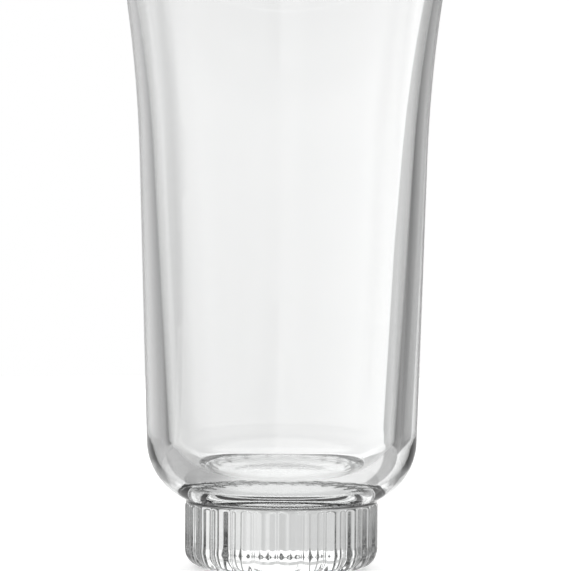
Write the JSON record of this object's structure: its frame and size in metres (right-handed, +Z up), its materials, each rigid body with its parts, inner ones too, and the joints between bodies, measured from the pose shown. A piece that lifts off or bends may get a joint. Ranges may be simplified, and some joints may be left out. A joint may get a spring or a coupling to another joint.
{
  "type": "highball glass",
  "caption": "Clear footed highball tumbler: thick drafted bowl with a flared mouth, fused onto a short solid foot with upright ribs.",
  "frame": {"origin": "centre of the standing ring, in the plane that the glass rests on", "axes": "+Z up along the axis of the glass, towards the rim; X and Y are equal, the glass being round"},
  "size_m": [0.0798, 0.0798, 0.15],
  "materials": {
    "bowl_glass": "clear, fire polished",
    "foot_glass": "clear, pressed, with soft mould ripple"
  },
  "bodies": {
    "root": {"bowl": "bowl_glass", "foot": "foot_glass"}
  },
  "joints": []
}
